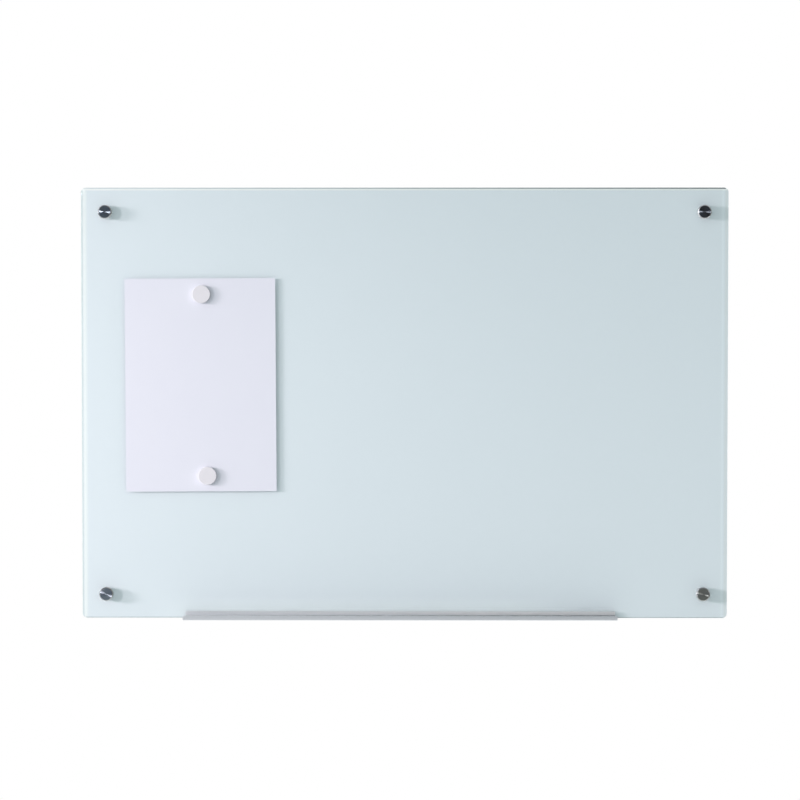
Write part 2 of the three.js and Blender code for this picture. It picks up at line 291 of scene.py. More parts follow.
def feed(tree, socket, value):
    if isinstance(value, bpy.types.NodeSocket):
        tree.links.new(value, socket)
    elif isinstance(value, tuple) and len(value) == 3 and socket.type == "RGBA":
        socket.default_value = (*value, 1)
    else:
        socket.default_value = value


def addNode(tree, kind, inputs=None, **settings):
    made = tree.nodes.new("ShaderNode" + kind)
    for key, value in settings.items():
        setattr(made, key, value)
    for key, value in (inputs or {}).items():
        feed(tree, made.inputs[key], value)
    return made


def newFinish(name, **sockets):
    # a Principled material; socket names are given with underscores
    material = bpy.data.materials.new(name)
    material.use_nodes = True
    tree = material.node_tree
    shader = tree.nodes["Principled BSDF"]
    for key, value in sockets.items():
        feed(tree, shader.inputs[key.replace("_", " ")], value)
    return material, tree, shader


def noiseValue(tree, scale, detail=3.0, roughness=0.55, source="Object"):
    # noise in metres, stretched by scale, in the object's space or on a UV map
    if source == "Object":
        space = addNode(tree, "TexCoord").outputs["Object"]
    else:
        space = addNode(tree, "UVMap", uv_map=source).outputs["UV"]
    place = addNode(tree, "Mapping", {"Vector": space, "Scale": scale}).outputs[0]
    return addNode(tree, "TexNoise", {"Vector": place, "Scale": 1.0, "Detail": detail,
                                      "Roughness": roughness}).outputs[0]


def remap(tree, value, fromLow, fromHigh, toLow, toHigh):
    return addNode(tree, "MapRange", {"Value": value, "From Min": fromLow, "From Max": fromHigh,
                                      "To Min": toLow, "To Max": toHigh}).outputs[0]


def spread(tree, value, low, high):
    # stretches a noise, which lies mostly between 0.3 and 0.7, from low to high
    return remap(tree, value, 0.3, 0.7, low, high)


def mixColor(tree, factor, first, second, blend="MIX"):
    made = addNode(tree, "Mix", data_type="RGBA", blend_type=blend)
    feed(tree, made.inputs[0], factor)
    feed(tree, made.inputs[6], first)
    feed(tree, made.inputs[7], second)
    return made.outputs[2]


def softBox(tree, *ranges):
    # 1 inside a box of the object, fading to 0 round it;
    # each range is an axis, its middle, and how far from there it is full and ends
    place = addNode(tree, "SeparateXYZ", {0: addNode(tree, "TexCoord").outputs["Object"]})
    share = 1.0
    for axis, middle, full, end in ranges:
        away = addNode(tree, "Math", {0: place.outputs[axis], 1: middle}, operation="SUBTRACT")
        away = addNode(tree, "Math", {0: away.outputs[0]}, operation="ABSOLUTE")
        fade = remap(tree, away.outputs[0], full, end, 1.0, 0.0)
        share = addNode(tree, "Math", {0: share, 1: fade}, operation="MULTIPLY").outputs[0]
    return share


def tintBoxes(tree, color, boxes):
    # each box is a colour that is laid over color, and its ranges as softBox takes them
    for boxColor, *ranges in boxes:
        color = mixColor(tree, softBox(tree, *ranges), color, boxColor)
    return color


def addBump(tree, shader, height, distance):
    bump = addNode(tree, "Bump", {"Height": height, "Distance": distance, "Strength": 1.0})
    tree.links.new(bump.outputs[0], shader.inputs["Normal"])


def followGrain(tree, shader):
    # draws the highlight out across the tool marks
    tangent = addNode(tree, "Tangent", direction_type="UV_MAP", uv_map="grain")
    tree.links.new(tangent.outputs[0], shader.inputs["Tangent"])


def cloudedFinish(name, colors, roughness, cloud, cloudDetail=2.0, grain=None, grainDepth=0.0, **sockets):
    # a soft cloud varies the colour and the shine; a finer grain, where there is one, roughens the surface
    material, tree, shader = newFinish(name, **sockets)
    clouds = noiseValue(tree, cloud, detail=cloudDetail)
    feed(tree, shader.inputs["Base Color"], mixColor(tree, clouds, *colors))
    feed(tree, shader.inputs["Roughness"], spread(tree, clouds, *roughness))
    if grain:
        addBump(tree, shader, noiseValue(tree, grain), grainDepth)
    return material


# Materials; the scales of noises are per metre and the depths of bumps in metres

glassLook = {
    "tint": (0.975, 0.99, 0.985),
    "index": 1.5,
    "smudges": (6, 6, 9),
    "smudgeRange": (0.45, 0.75),
    "smudgeRoughness": (0.0, 0.02),
}


def clearGlass():
    # glass to the camera, open to light, so that what hangs in front shades the layer behind
    tint = glassLook["tint"]
    material, tree, shader = newFinish("clearGlass", Base_Color=tint, Transmission_Weight=1.0,
                                       IOR=glassLook["index"])
    smudges = noiseValue(tree, glassLook["smudges"], detail=4.0)
    feed(tree, shader.inputs["Roughness"],
         remap(tree, smudges, *glassLook["smudgeRange"], *glassLook["smudgeRoughness"]))
    opening = addNode(tree, "BsdfTransparent", {"Color": tint}).outputs[0]
    path = addNode(tree, "LightPath")
    bounce = addNode(tree, "MixShader", {0: path.outputs["Is Diffuse Ray"], 1: shader.outputs[0], 2: opening})
    shade = addNode(tree, "MixShader", {0: path.outputs["Is Shadow Ray"], 1: bounce.outputs[0], 2: opening})
    tree.links.new(shade.outputs[0], tree.nodes["Material Output"].inputs["Surface"])
    return material


whiteFilm = {
    "colors": ((0.845, 0.885, 0.936), (0.835, 0.877, 0.928)),
    "roughness": 0.55,
    "specular": 0.2,
    "mottle": (7, 7, 7),
    "grain": (1500, 1500, 1500),
    "grainDepth": 0.00001,
    # painted light where light enters the polished edges or comes off the tray, and painted shade for the
    # dark lines along the edges of the glass
    "boxes": (
        ((0.92, 0.965, 1.0), ("Z", glassLow.z + 0.0095, 0.006, 0.022), ("X", -0.05, 0.2, 0.31)),
        ((0.98, 1.0, 1.0), ("X", glassLow.x + 0.0043, 0.0, 0.0046)),
        ((0.76, 0.82, 0.84), ("X", glassLow.x + 0.001, 0.0006, 0.0014)),
        ((0.90, 0.945, 0.99), ("X", glassHigh.x - 0.0076, 0.0, 0.0020)),
        ((0.81, 0.84, 0.86), ("X", glassHigh.x - 0.0025, 0.0, 0.0030)),
        ((1.0, 1.0, 1.0), ("Z", glassHigh.z - 0.0026, 0.0008, 0.0016)),
        ((0.22, 0.25, 0.26), ("Z", glassHigh.z - 0.0011, 0.0006, 0.0009), ("X", 0.48, 0.0, 1.1)),
        ((0.46, 0.50, 0.52), ("Z", glassLow.z + 0.0006, 0.0002, 0.0007)),
    ),
}


def whiteLayerFinish():
    material, tree, shader = newFinish("whiteLayer", Roughness=whiteFilm["roughness"],
                                       Specular_IOR_Level=whiteFilm["specular"])
    mottle = noiseValue(tree, whiteFilm["mottle"], detail=2.0)
    color = mixColor(tree, mottle, *whiteFilm["colors"])
    feed(tree, shader.inputs["Base Color"], tintBoxes(tree, color, whiteFilm["boxes"]))
    addBump(tree, shader, noiseValue(tree, whiteFilm["grain"], detail=2.0), whiteFilm["grainDepth"])
    return material


galvanised = {
    "colors": ((0.50, 0.52, 0.53), (0.62, 0.64, 0.65)),
    "roughness": (0.36, 0.52),
    "spangles": 90,
    "rolled": (8, 900, 1400),
    "rolledDepth": 0.00002,
}


def galvanisedSheet():
    material, tree, shader = newFinish("galvanisedSheet", Metallic=1.0)
    place = addNode(tree, "TexCoord").outputs["Object"]
    spangle = addNode(tree, "TexVoronoi", {"Vector": place, "Scale": galvanised["spangles"]})
    tone = addNode(tree, "SeparateColor", {0: spangle.outputs["Color"]}).outputs[0]
    feed(tree, shader.inputs["Base Color"], mixColor(tree, tone, *galvanised["colors"]))
    feed(tree, shader.inputs["Roughness"], remap(tree, tone, 0.0, 1.0, *galvanised["roughness"]))
    addBump(tree, shader, noiseValue(tree, galvanised["rolled"]), galvanised["rolledDepth"])
    return material


turnedSteel = {
    "marks": (7000, 6, 1),
    "wideMarks": (840, 20, 1),
    "marksDepth": 0.000012,
    # the face of a cap is machined deeper than its polished chamfer and side, which start this far behind it
    "faceDepth": 0.0001,
    "faceFade": 0.0002,
    "face": ((0.30, 0.33, 0.35), (0.38, 0.41, 0.43)),
    "side": (0.70, 0.69, 0.68),
    "faceRoughness": (0.30, 0.38),
    "sideRoughness": (0.36, 0.44),
    "anisotropy": (0.96, 0.2),
    # a painted reflection on each cap's face, for the lighter or darker room that each one mirrors: a factor
    # for each face, full and ending at these distances from its middle
    "paintedReflectionTints": {
        "top_left": (0.95, 1.0, 1.06),
        "top_right": (0.48, 0.48, 0.50),
        "bottom_left": (1.45, 1.50, 1.58),
        "bottom_right": (1.45, 1.35, 1.18),
    },
    "paintedReflectionReach": (0.02, 0.03),
}


def turnedMetal():
    # lathe marks run round the piece, so its highlight is drawn out across them
    material, tree, shader = newFinish("turnedSteel", Metallic=1.0)
    ring = noiseValue(tree, turnedSteel["marks"], detail=2.0, source="grain")
    wide = noiseValue(tree, turnedSteel["wideMarks"], detail=2.0, source="grain")
    depth = addNode(tree, "SeparateXYZ", {0: addNode(tree, "TexCoord").outputs["Object"]}).outputs["Y"]
    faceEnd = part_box("cap_top_left")[0].y + turnedSteel["faceDepth"]
    side = remap(tree, depth, faceEnd, faceEnd + turnedSteel["faceFade"], 0.0, 1.0)
    # painted reflections: each cap's face is tinted lighter or darker by where it hangs
    paintedReflectionBoxes = []
    for corner, tone in turnedSteel["paintedReflectionTints"].items():
        centre = centreOf("cap_" + corner)
        reach = turnedSteel["paintedReflectionReach"]
        paintedReflectionBoxes.append((tone, ("X", centre.x, *reach), ("Z", centre.z, *reach)))
    paintedReflectionTints = tintBoxes(tree, (1.0, 1.0, 1.0), paintedReflectionBoxes)
    face = mixColor(tree, 1.0, mixColor(tree, wide, *turnedSteel["face"]), paintedReflectionTints, blend="MULTIPLY")
    feed(tree, shader.inputs["Base Color"], mixColor(tree, side, face, turnedSteel["side"]))
    faceRoughness = spread(tree, ring, *turnedSteel["faceRoughness"])
    sideRoughness = spread(tree, ring, *turnedSteel["sideRoughness"])
    roughness = addNode(tree, "Mix", {0: side, 2: faceRoughness, 3: sideRoughness})
    feed(tree, shader.inputs["Roughness"], roughness.outputs[0])
    feed(tree, shader.inputs["Anisotropic"], remap(tree, side, 0.0, 1.0, *turnedSteel["anisotropy"]))
    followGrain(tree, shader)
    addBump(tree, shader, ring, turnedSteel["marksDepth"])
    return material


def zincPlate():
    return cloudedFinish("zincPlate", colors=((0.60, 0.63, 0.67), (0.74, 0.73, 0.70)), roughness=(0.22, 0.38),
                         cloud=(260, 260, 260), cloudDetail=3.0, grain=(2600, 2600, 2600),
                         grainDepth=0.000008, Metallic=1.0)


def nickelPlate():
    return cloudedFinish("nickelPlate", colors=((0.62, 0.60, 0.56), (0.72, 0.70, 0.66)),
                         roughness=(0.12, 0.24), cloud=(180, 180, 180), grain=(1200, 1200, 1200),
                         grainDepth=0.000006, Metallic=1.0)


def clearNylon():
    return cloudedFinish("clearNylon", colors=((0.80, 0.83, 0.84), (0.88, 0.90, 0.91)),
                         roughness=(0.18, 0.32), cloud=(300, 300, 300), Transmission_Weight=0.55, IOR=1.49)


def greyNylon():
    return cloudedFinish("greyNylon", colors=((0.22, 0.24, 0.26), (0.30, 0.32, 0.34)), roughness=(0.42, 0.6),
                         cloud=(220, 90, 220), cloudDetail=3.0, grain=(2200, 700, 2200), grainDepth=0.00002)


def softRubber():
    return cloudedFinish("softRubber", colors=((0.035, 0.037, 0.04), (0.07, 0.072, 0.076)),
                         roughness=(0.62, 0.82), cloud=(900, 900, 900), cloudDetail=3.0,
                         grain=(900, 900, 900), grainDepth=0.00004)


satinAluminium = {
    "colors": ((0.84, 0.86, 0.89), (0.87, 0.88, 0.90)),
    "metallic": 0.45,
    "anisotropy": 0.5,
    "roughness": (0.38, 0.5),
    "cloud": (9, 9, 9),
    "dieLines": (5200, 3, 1),
    "lineDepth": 0.00001,
    # painted light and shade, stronger towards the right: the upstand painted lighter, the lip front painted
    # darker, and painted shade in the corner below the upstand where the trough lies in shadow
    "boxes": (
        ((1.0, 1.0, 1.0), ("Y", -0.0284, 0.0003, 0.0006), ("Z", glassLow.z + 0.0075, 0.002, 0.003),
         ("X", 0.3, 0.12, 0.62)),
        ((0.72, 0.74, 0.77), ("Y", -0.0755, 0.0006, 0.0012), ("Z", glassLow.z + 0.0075, 0.001, 0.006),
         ("X", 0.3, 0.1, 0.8)),
        ((0.31, 0.32, 0.33), ("Y", -0.0315, 0.0035, 0.005), ("Z", glassLow.z + 0.0034, 0.0006, 0.0009),
         ("X", 0.3, 0.12, 0.62)),
    ),
}


def satinAnodised():
    # fine lines from the die run along the extrusion
    material, tree, shader = newFinish("satinAnodised", Metallic=satinAluminium["metallic"],
                                       Anisotropic=satinAluminium["anisotropy"])
    line = noiseValue(tree, satinAluminium["dieLines"], source="grain")
    color = mixColor(tree, noiseValue(tree, satinAluminium["cloud"], detail=2.0), *satinAluminium["colors"])
    feed(tree, shader.inputs["Base Color"], tintBoxes(tree, color, satinAluminium["boxes"]))
    feed(tree, shader.inputs["Roughness"], spread(tree, line, *satinAluminium["roughness"]))
    followGrain(tree, shader)
    addBump(tree, shader, line, satinAluminium["lineDepth"])
    return material


paperLook = {
    "colors": ((0.79, 0.79, 0.87), (0.81, 0.81, 0.885)),
    "fibreColor": (0.76, 0.76, 0.835),
    "fibreRange": (0.35, 0.7),
    "fibreShare": 0.35,
    "roughness": (0.8, 0.95),
    "specular": 0.25,
    "fibres": (420, 420, 1100),
    "fibreDepth": 0.00003,
    "cloud": (26, 26, 26),
}


def officePaper():
    material, tree, shader = newFinish("officePaper", Specular_IOR_Level=paperLook["specular"])
    fibre = noiseValue(tree, paperLook["fibres"], detail=4.0, roughness=0.7)
    pale = mixColor(tree, noiseValue(tree, paperLook["cloud"]), *paperLook["colors"])
    share = remap(tree, fibre, *paperLook["fibreRange"], 0.0, paperLook["fibreShare"])
    feed(tree, shader.inputs["Base Color"], mixColor(tree, share, pale, paperLook["fibreColor"]))
    feed(tree, shader.inputs["Roughness"], spread(tree, fibre, *paperLook["roughness"]))
    addBump(tree, shader, fibre, paperLook["fibreDepth"])
    return material


mouldingLook = {
    "colors": ((0.775, 0.75, 0.785), (0.805, 0.78, 0.815)),
    "roughness": (0.4, 0.55),
    "cloud": (120, 120, 120),
    "spark": (2400, 2400, 2400),
    "sparkDepth": 0.00002,
}


def whiteMoulding():
    # pale plastic with a fine spark texture
    material, tree, shader = newFinish("whiteMoulding")
    cloud = noiseValue(tree, mouldingLook["cloud"], detail=2.0)
    feed(tree, shader.inputs["Base Color"], mixColor(tree, cloud, *mouldingLook["colors"]))
    spark = noiseValue(tree, mouldingLook["spark"], detail=2.0)
    feed(tree, shader.inputs["Roughness"], spread(tree, spark, *mouldingLook["roughness"]))
    addBump(tree, shader, spark, mouldingLook["sparkDepth"])
    return material


finishes = {
    "glass": clearGlass(),
    "white_backing": whiteLayerFinish(),
    "sheet_steel": galvanisedSheet(),
    "turned_steel": turnedMetal(),
    "zinc_steel": zincPlate(),
    "clear_plastic": clearNylon(),
    "grey_plastic": greyNylon(),
    "satin_aluminium": satinAnodised(),
    "soft_grip": softRubber(),
    "paper": officePaper(),
    "white_shell": whiteMoulding(),
    "nickel": nickelPlate(),
}
print("Materials made:", len(finishes))


# Glass, the white layer and the steel sheet behind it

capCentre = centreOf("cap_top_right")
panel = {
    "holeX": capCentre.x,
    "holeZ": capCentre.z,
    "holeFaces": 64,
    "marginShare": 0.6,  # of the way from a hole to the edge: half of the square cell round the hole
    "slackShare": 0.01,
    "cornerRadius": 0.0065,
    "cornerSegments": 12,
    "glassHole": 0.007,
    "glassEdge": 0.0009,  # round of the polished edge
    "filmInset": 0.0006,
    "filmGrow": 0.0006,  # the film runs nearly to the edge of the glass
    "steelHole": 0.0125,
    "steelEdge": 0.0001,
}


def platePiece(name, node, slot, holeRadius, edge=0.0, edgeSegments=1, inset=0.0, grow=0.0):
    low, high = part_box(node)
    plate = {
        **panel, "cornerRadius": panel["cornerRadius"] - inset, "holeRadius": holeRadius,
        "edge": edge, "edgeSegments": edgeSegments,
    }
    size = (high.x - low.x + 2 * grow, high.z - low.z + 2 * grow)
    makePiece(name, holedPlate(size, low.y, high.y, plate), "board", slot, node)


platePiece("glassPane", "glass_panel", "glass", panel["glassHole"], edge=panel["glassEdge"], edgeSegments=4)
platePiece("whiteLayer", "white_backing", "white_backing", panel["glassHole"], inset=panel["filmInset"],
           grow=panel["filmGrow"])
platePiece("steelBack", "steel_sheet", "sheet_steel", panel["steelHole"], edge=panel["steelEdge"])
print("Panel built")


# Standoffs: barrel, washers, sleeve, cap, wall screw and anchor at each corner

standoff = {
    "radius": 0.0095,
    "boreRadius": 0.0052,
    "washerRadius": 0.009,
    "washerRound": 0.0002,
    "sleeveRadius": 0.0067,
    "sleeveRound": 0.0001,
}
barrel = {
    "round": 0.0005,
    "webRear": -0.0011,
    "screwHole": 0.0023,
    "sinkRadius": 0.0043,
    "sinkDepth": 0.002,
}
cap = {
    "rear": -0.0266,
    "chamfer": 0.0013,
    "chamferRound": 0.0002,
    "rearRound": 0.0003,
}
stud = {
    "root": 0.0044,
    "crest": 0.005,
    "pitch": 0.0015,
    "neckRadius": 0.0042,
    # along the stud from the rear of the cap
    "neckEnd": 0.002,
    "coreStart": 0.0024,
    "threadStart": 0.003,
    "tipChamfer": 0.0008,
}


def barrelShape(low, high):
    radius, bore, front, rear = standoff["radius"], standoff["boreRadius"], low.y, high.y
    edge, webRear, hole = barrel["round"], barrel["webRear"], barrel["screwHole"]
    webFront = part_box("wall_screw_top_left")[0].y  # the screw's head lies flush in the web
    return turnedSolid([
        (bore + edge, front), (radius, front, edge), (radius, rear, edge), (bore, rear),
        (bore, webRear), (hole, webRear), (hole, webFront + barrel["sinkDepth"]),
        (barrel["sinkRadius"], webFront), (bore, webFront), (bore, front + edge),
    ], closed=True)


def capShape(low, high):
    radius, front, rear, tip = standoff["radius"], low.y, cap["rear"], high.y
    chamfer, chamferRound = cap["chamfer"], cap["chamferRound"]
    root, neck, tipChamfer = stud["root"], stud["neckRadius"], stud["tipChamfer"]
    bm = turnedSolid([
        (0, front), (radius - chamfer, front, chamferRound), (radius, front + chamfer, chamferRound),
        (radius, rear, cap["rearRound"]), (neck, rear, cap["rearRound"]), (neck, rear + stud["neckEnd"]),
        (root, rear + stud["coreStart"]), (root, tip - tipChamfer), (root - tipChamfer, tip), (0, tip),
    ])
    addThread(bm, stud, rear + stud["threadStart"], tip - tipChamfer)
    return bm


def ringShape(low, high, outer, rounding):
    inner = standoff["boreRadius"]
    return turnedSolid([
        (inner, low.y, rounding), (outer, low.y, rounding), (outer, high.y, rounding),
        (inner, high.y, rounding),
    ], closed=True, steps=72, segments=2)


def washerShape(low, high):
    return ringShape(low, high, standoff["washerRadius"], standoff["washerRound"])


def sleeveShape(low, high):
    return ringShape(low, high, standoff["sleeveRadius"], standoff["sleeveRound"])


wallScrew = {
    "headRadius": 0.004,
    "headRound": 0.0001,
    "neckRadius": 0.0019,
    "root": 0.00142,
    "crest": 0.002,
    "pitch": 0.0018,
    # along the screw from the front of its head
    "headEnd": 0.0021,
    "neckEnd": 0.009,
    "threadStart": 0.0098,
    "coreStart": 0.0105,
    # along the screw from its tip
    "pointLength": 0.005,
    "threadStop": 0.0042,
    # the cross recess; half of a cutter's depth is in the head
    "recessLength": 0.0044,
    "recessDepth": 0.0036,
    "recessWidth": 0.0009,
}


def wallScrewShape(low, high):
    head, tip, neck, root = low.y, high.y, wallScrew["neckRadius"], wallScrew["root"]
    length, depth, width = wallScrew["recessLength"], wallScrew["recessDepth"], wallScrew["recessWidth"]
    core = turnedSolid([
        (0, head), (wallScrew["headRadius"], head, wallScrew["headRound"]),
        (neck, head + wallScrew["headEnd"]), (neck, head + wallScrew["neckEnd"]),
        (root, head + wallScrew["coreStart"]), (root, tip - wallScrew["pointLength"]), (0, tip),
    ], steps=48, segments=2)
    for size in ((length, depth, width), (width, depth, length)):
        core = cutAway(core, boxSolid(size, Vector((0, head, 0))))
    addThread(core, wallScrew, head + wallScrew["threadStart"], tip - wallScrew["threadStop"])
    return core


wallAnchor = {
    "bore": 0.0023,
    "radius": 0.004,
    "collarRadius": 0.0049,
    "collarRound": 0.0002,
    "ribs": 8,
    "ribStart": 0.0068,
    "ribDepth": 0.0004,
    "ribFall": 0.0005,
    "endShare": 0.6,  # of a rib's pitch, behind the last rib
    "slotStart": 0.0102,
    "slotWidth": 0.001,
    "slotPast": 0.002,  # how far the cutter of the slots runs past the end
    "slotReach": 0.012,
}


def wallAnchorShape(low, high):
    front, end, bore, radius = low.y, high.y, wallAnchor["bore"], wallAnchor["radius"]
    collar, rounding, ribs = wallAnchor["collarRadius"], wallAnchor["collarRound"], wallAnchor["ribs"]
    valley, ribStart = radius - wallAnchor["ribDepth"], wallAnchor["ribStart"]
    ribPitch = (end - ribStart) / (ribs + wallAnchor["endShare"])
    profile = [(bore, front), (collar, front, rounding), (collar, 0, rounding), (radius, 0)]
    for rib in range(ribs):
        ribY = ribStart + rib * ribPitch
        profile += [(radius, ribY), (valley, ribY + wallAnchor["ribFall"])]
    profile += [(radius, ribStart + ribs * ribPitch), (valley, end), (bore, end)]
    plug = turnedSolid(profile, closed=True, steps=48, segments=2)
    width, reach, slotStart = wallAnchor["slotWidth"], wallAnchor["slotReach"], wallAnchor["slotStart"]
    length = end - slotStart + wallAnchor["slotPast"]
    centre = Vector((0, slotStart + length / 2, 0))
    for size in ((width, length, reach), (reach, length, width)):
        plug = cutAway(plug, boxSolid(size, centre))
    return plug


def placeTurned(name, bm, node, slot, body):
    addGrain(bm, turned=True)
    centre = centreOf(node)
    bmesh.ops.translate(bm, vec=(centre.x, 0, centre.z), verts=bm.verts)
    makePiece(name, bm, body, slot, node)


for corner in cornerNames:
    for name, node, shape, slot, body in (
        ("turnedBarrel_", "barrel_", barrelShape, "turned_steel", "board"),
        ("turnedCap_", "cap_", capShape, "turned_steel", "cap_" + corner),
        ("woodScrew_", "wall_screw_", wallScrewShape, "zinc_steel", "board"),
        ("ribbedPlug_", "wall_anchor_", wallAnchorShape, "grey_plastic", "board"),
        ("rearRing_", "rear_washer_", washerShape, "clear_plastic", "board"),
        ("holeSleeve_", "glass_sleeve_", sleeveShape, "clear_plastic", "board"),
        ("frontRing_", "front_washer_", washerShape, "clear_plastic", "cap_washer_" + corner),
    ):
        placeTurned(name + corner, shape(*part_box(node + corner)), node + corner, slot, body)
print("Standoffs built")


# Pen tray

tray = {
    # depths, from the wall
    "lipFront": -0.0755,
    "lipRear": -0.0737,
    "upstandFront": -0.0284,
    "slotFront": -0.0264,
    "slotRear": -0.0202,
    "hookRear": -0.0184,
    # heights, from the bottom edge of the glass
    "hookBottom": -0.0025,
    "slotFloor": -0.0009,
    "underside": 0.0023,
    "floor": 0.0038,
    "lipTop": 0.0081,
    "upstandTop": 0.0095,
    "hookTop": 0.012,
    "cornerRound": 0.0012,
    "edgeRound": 0.0007,
    "filletSegments": 6,
    "endBreak": 0.0002,
    "endSegments": 2,
}


def traySection():
    # the corners in turn, from the front underside round the hook and the upstand to the lip
    rows = (
        ("lipFront", "underside", "cornerRound"), ("upstandFront", "underside", "cornerRound"),
        ("upstandFront", "hookBottom", "cornerRound"), ("hookRear", "hookBottom", "cornerRound"),
        ("hookRear", "hookTop", "edgeRound"), ("slotRear", "hookTop", "edgeRound"),
        ("slotRear", "slotFloor"), ("slotFront", "slotFloor"),
        ("slotFront", "upstandTop", "edgeRound"), ("upstandFront", "upstandTop", "edgeRound"),
        ("upstandFront", "floor", "cornerRound"), ("lipRear", "floor", "cornerRound"),
        ("lipRear", "lipTop", "edgeRound"), ("lipFront", "lipTop", "edgeRound"),
    )
    return [
        (tray[depth], tray[height] + glassLow.z, *(tray[rounding] for rounding in fillet))
        for depth, height, *fillet in rows
    ]


trayLow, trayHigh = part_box("pen_tray")
trayMesh = extrudedSection(traySection(), trayLow.x, trayHigh.x, tray)
addGrain(trayMesh, turned=False)
makePiece("extrudedTray", trayMesh, "tray", "satin_aluminium", "pen_tray")
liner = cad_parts["tray_liner"]
liner.data.materials.clear()
liner.data.materials.append(finishes["soft_grip"])
print("Tray built")


# Sheet of paper, flat on the left and lifting towards its right edge

sheet = {
    "width": 0.21,
    "height": 0.297,
    "thickness": 0.00012,
    "middleY": -0.0259,
    "curlWidth": 0.095,
    "curlHeight": 0.0004,
    "waves": (14, 11),  # a metre, across and up
    "waveHeight": 0.00005,
    "flatWaveShare": 0.6,
    "curlWaveShare": 2.5,
    "deepestWave": 0.00004,
    "tilt": math.radians(-0.3),
    "columns": 56,
    "rows": 72,
}


def paperPiece():
    bm = bmesh.new()
    bmesh.ops.create_grid(bm, x_segments=sheet["columns"], y_segments=sheet["rows"], size=0.5)
    curlStart = sheet["width"] / 2 - sheet["curlWidth"]
    for vertex in bm.verts:
        x, z = vertex.co.x * sheet["width"], vertex.co.y * sheet["height"]
        curl = max(x - curlStart, 0) / sheet["curlWidth"]
        wave = noise.noise(Vector((x * sheet["waves"][0], z * sheet["waves"][1], 0))) * sheet["waveHeight"]
        wave *= sheet["flatWaveShare"] + sheet["curlWaveShare"] * curl
        lift = curl ** 2 * sheet["curlHeight"] + max(wave, -sheet["deepestWave"])
        vertex.co = (x, sheet["middleY"] - lift, z)
    bm.normal_update()
    bmesh.ops.solidify(bm, geom=bm.faces[:], thickness=sheet["thickness"])
    bmesh.ops.recalc_face_normals(bm, faces=bm.faces)
    centre = centreOf("paper_sheet")
    place = Matrix.Translation((centre.x, 0, centre.z)) @ Matrix.Rotation(sheet["tilt"], 4, "Y")
    bmesh.ops.transform(bm, matrix=place, verts=bm.verts)
    makePiece("officeSheet", bm, "paper", "paper", "paper_sheet")


paperPiece()
print("Paper built")


# Magnets: shell, steel cup, magnet disc and pad

magnet = {
    "radius": 0.0125,
    "height": 0.006,
    "wall": 0.0012,
    "gap": 0.0001,
    "padDepth": 0.0007,
    "padRound": 0.0002,
    "shellRound": 0.0006,
    "rimRound": 0.0002,
    "rimLift": 0.0002,
    "cupRound": 0.0003,
    "cupRimRound": 0.0001,
    "discRound": 0.0003,
    "discGap": 0.0004,
}


def magnetShapes():
    # each piece's profile, with y from the front of the paper, and its slot
    radius, front, wall, gap = magnet["radius"], -magnet["height"], magnet["wall"], magnet["gap"]
    inner, floor, rim = radius - wall, front + wall, -magnet["rimLift"]
    cup, cupFront, padFront = inner - gap, floor + gap, -magnet["padDepth"]
    bore, cupFloor, rear = cup - wall, cupFront + wall, padFront - gap
    disc, discFront, discRound = bore - magnet["discGap"], cupFloor + gap, magnet["discRound"]
    return {
        "shell": ([(0, front), (radius, front, magnet["shellRound"]), (radius, rim, magnet["rimRound"]),
                   (inner, rim), (inner, floor), (0, floor)], "white_shell"),
        "yoke": ([(0, cupFront), (cup, cupFront, magnet["cupRound"]), (cup, rear, magnet["cupRimRound"]),
                  (bore, rear), (bore, cupFloor), (0, cupFloor)], "zinc_steel"),
        "disc": ([(0, discFront), (disc, discFront, discRound), (disc, rear, discRound), (0, rear)],
                 "nickel"),
        "pad": ([(0, padFront), (cup, padFront, magnet["padRound"]), (cup, 0, magnet["padRound"]), (0, 0)],
                "soft_grip"),
    }


for which in magnetNames:
    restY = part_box(f"magnet_{which}_pad")[1].y
    for kind, (profile, slot) in magnetShapes().items():
        bm = turnedSolid(profile, segments=6)
        bmesh.ops.translate(bm, vec=(0, restY, 0), verts=bm.verts)
        node = f"magnet_{which}_{kind}"
        placeTurned(f"magnet{kind.capitalize()}_{which}", bm, node, slot, "magnet_" + which)
print("Magnets built")


# Camera, at the photograph's view

camera = {
    "place": (0.0187, -3.867, 0.1493),
    "pitchDown": math.radians(2.156),
    "turnLeft": math.radians(0.373),
    "lens": 124.17,
    "sensor": 36.0,
}
cameraData = bpy.data.cameras.new("photoCamera")
cameraData.lens = camera["lens"]
cameraData.sensor_width = camera["sensor"]
photoCamera = bpy.data.objects.new("photoCamera", cameraData)
photoCamera.location = camera["place"]
photoCamera.rotation_euler = (math.pi / 2 - camera["pitchDown"], 0, camera["turnLeft"])
bpy.context.scene.collection.objects.link(photoCamera)
bpy.context.scene.camera = photoCamera


# Studio: a soft lamp and a long low strip on the left, a small lamp for the glint on the caps, a large one
# behind, pale surroundings and a pale floor

